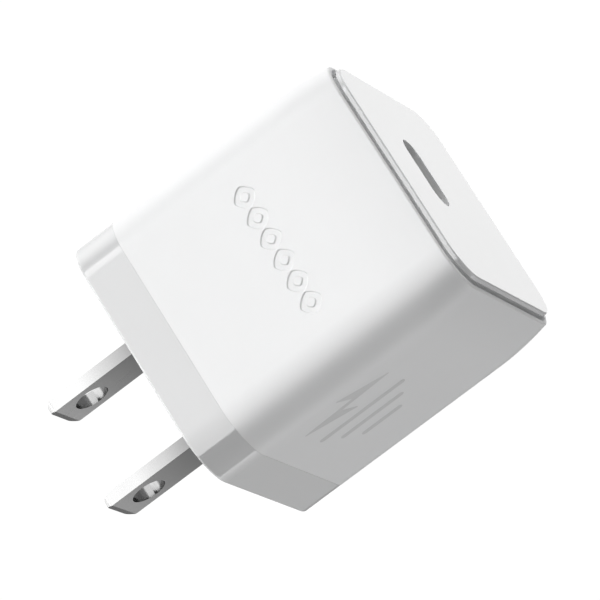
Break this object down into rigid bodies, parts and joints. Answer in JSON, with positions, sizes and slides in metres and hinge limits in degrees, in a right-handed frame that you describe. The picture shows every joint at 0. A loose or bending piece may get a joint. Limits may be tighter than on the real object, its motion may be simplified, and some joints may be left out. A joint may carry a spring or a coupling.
{
  "type": "laptop power adapter",
  "caption": "Compact square wall-plug power adapter: two flat fixed mains blades on one end, a USB-C outlet in a raised panel on the other.",
  "frame": {"origin": "centre of the plug face, midway between the two blades, where the adapter meets the wall outlet", "axes": "+Y out of the plug face along the blades, -Y out of the USB-C outlet panel, +Z out of the front face that carries the recessed mark, X across the blade pitch"},
  "size_m": [0.0312, 0.0495, 0.0312],
  "materials": {
    "sleeve_plastic": "fine matte moulded polycarbonate",
    "cap_plastic": "polished moulded polycarbonate",
    "panel_plastic": "satin face with a polished edge",
    "blade_metal": "brass with bright nickel plating",
    "carrier_nylon": "natural glass-filled nylon",
    "spring_bronze": "bare phosphor bronze",
    "board_laminate": "green solder mask on glass-epoxy laminate",
    "shell_steel": "drawn stainless sheet",
    "black_moulding": "black high-temperature moulding compound",
    "contact_gold": "gold flash over nickel",
    "ferrite": "sintered and ground ferrite",
    "bobbin_phenolic": "moulded phenolic",
    "enamelled_copper": "enamelled copper wire",
    "insulated_wire": "triple-insulated wire, yellow",
    "polyester_tape": "yellow polyester tape",
    "tinned_wire": "tinned copper wire",
    "can_aluminium": "aluminium can in a dark shrink sleeve",
    "seal_rubber": "moulded end seal",
    "film_box": "grey moulded box filled with epoxy",
    "fuse_sleeve": "black shrink sleeve over a glass-cored fuse",
    "thermistor_coat": "dark green coated disc",
    "chip_ceramic": "tan fired ceramic",
    "gap_pad": "soft grey-blue silicone",
    "spreader_copper": "rolled copper sheet",
    "insulating_film": "clear amber polyester film"
  },
  "bodies": {
    "root": {"housing_sleeve": "sleeve_plastic", "plug_end_cap": "cap_plastic", "front_panel": "panel_plastic", "blade_left": "blade_metal", "blade_right": "blade_metal", "blade_carrier": "carrier_nylon", "contact_spring_left": "spring_bronze", "contact_spring_right": "spring_bronze", "main_board": "board_laminate", "port_board": "board_laminate", "usb_c_shell": "shell_steel", "usb_c_tongue": "black_moulding", "usb_c_contacts": "contact_gold", "transformer_core_lower": "ferrite", "transformer_core_upper": "ferrite", "transformer_bobbin": "bobbin_phenolic", "primary_winding": "enamelled_copper", "winding_insulation": "polyester_tape", "secondary_winding": "insulated_wire", "transformer_tape": "polyester_tape", "transformer_pins": "tinned_wire", "bulk_capacitor_front": "can_aluminium", "bulk_capacitor_rear": "can_aluminium", "capacitor_seals": "seal_rubber", "capacitor_leads": "tinned_wire", "choke_core": "ferrite", "choke_windings": "enamelled_copper", "choke_base": "bobbin_phenolic", "x_capacitor": "film_box", "input_fuse": "fuse_sleeve", "surge_thermistor": "thermistor_coat", "component_leads": "tinned_wire", "bridge_rectifier": "black_moulding", "gan_power_ic": "black_moulding", "optocoupler": "black_moulding", "y_capacitor": "chip_ceramic", "sync_rectifier_ic": "black_moulding", "pd_controller_ic": "black_moulding", "output_switch": "black_moulding", "output_capacitors": "black_moulding", "chip_capacitors": "chip_ceramic", "chip_resistors": "black_moulding", "thermal_pad": "gap_pad", "heat_spreader": "spreader_copper", "insulating_sheet": "insulating_film", "barrier_sheet": "insulating_film"}
  },
  "joints": []
}
